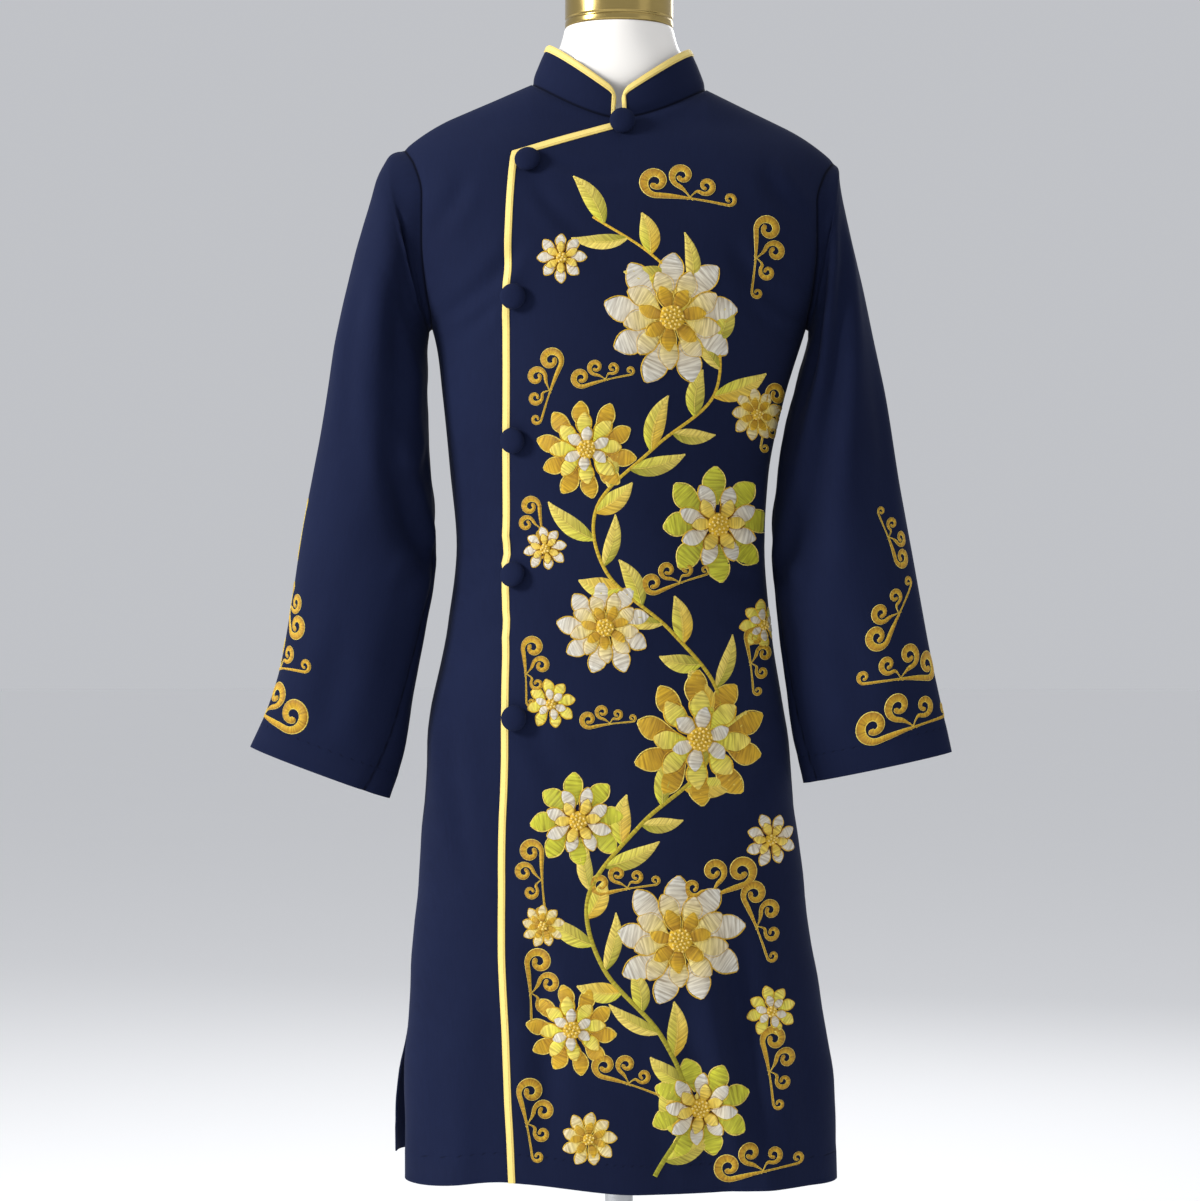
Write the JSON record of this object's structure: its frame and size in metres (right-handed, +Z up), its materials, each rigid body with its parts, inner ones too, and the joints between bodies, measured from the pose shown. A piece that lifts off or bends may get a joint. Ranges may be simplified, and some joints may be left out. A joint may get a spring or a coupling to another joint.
{
  "type": "ao dai tunic on a limbless dress form",
  "caption": "Knee-length navy ao dai tunic with a stand collar, slanting side closure, yellow trim and covered buttons, worn by a limbless dress form on a round stand.",
  "frame": {"origin": "centre of the stand's underside, on the floor, under the pole", "axes": "+Z up, -Y the way the wearer faces, +X to the wearer's left"},
  "size_m": [0.696, 0.36, 1.5753],
  "materials": {
    "cloth": "smooth dark navy suiting, matt",
    "trim": "pale yellow satin band",
    "form_shell": "glossy off-white",
    "cap": "polished",
    "stand": "satin"
  },
  "bodies": {
    "root": {"front_left": "cloth", "front_right": "cloth", "back": "cloth", "sleeve_right": "cloth", "sleeve_left": "cloth", "collar": "cloth", "collar_trim": "trim", "front_trim": "trim", "button_neck": "cloth", "button_shoulder": "cloth", "button_chest": "cloth", "button_ribs": "cloth", "button_waist": "cloth", "button_hip": "cloth", "form_torso": "form_shell", "neck_cap": "cap", "pole_flange": "stand", "pole": "stand", "stand_base": "stand"}
  },
  "joints": []
}
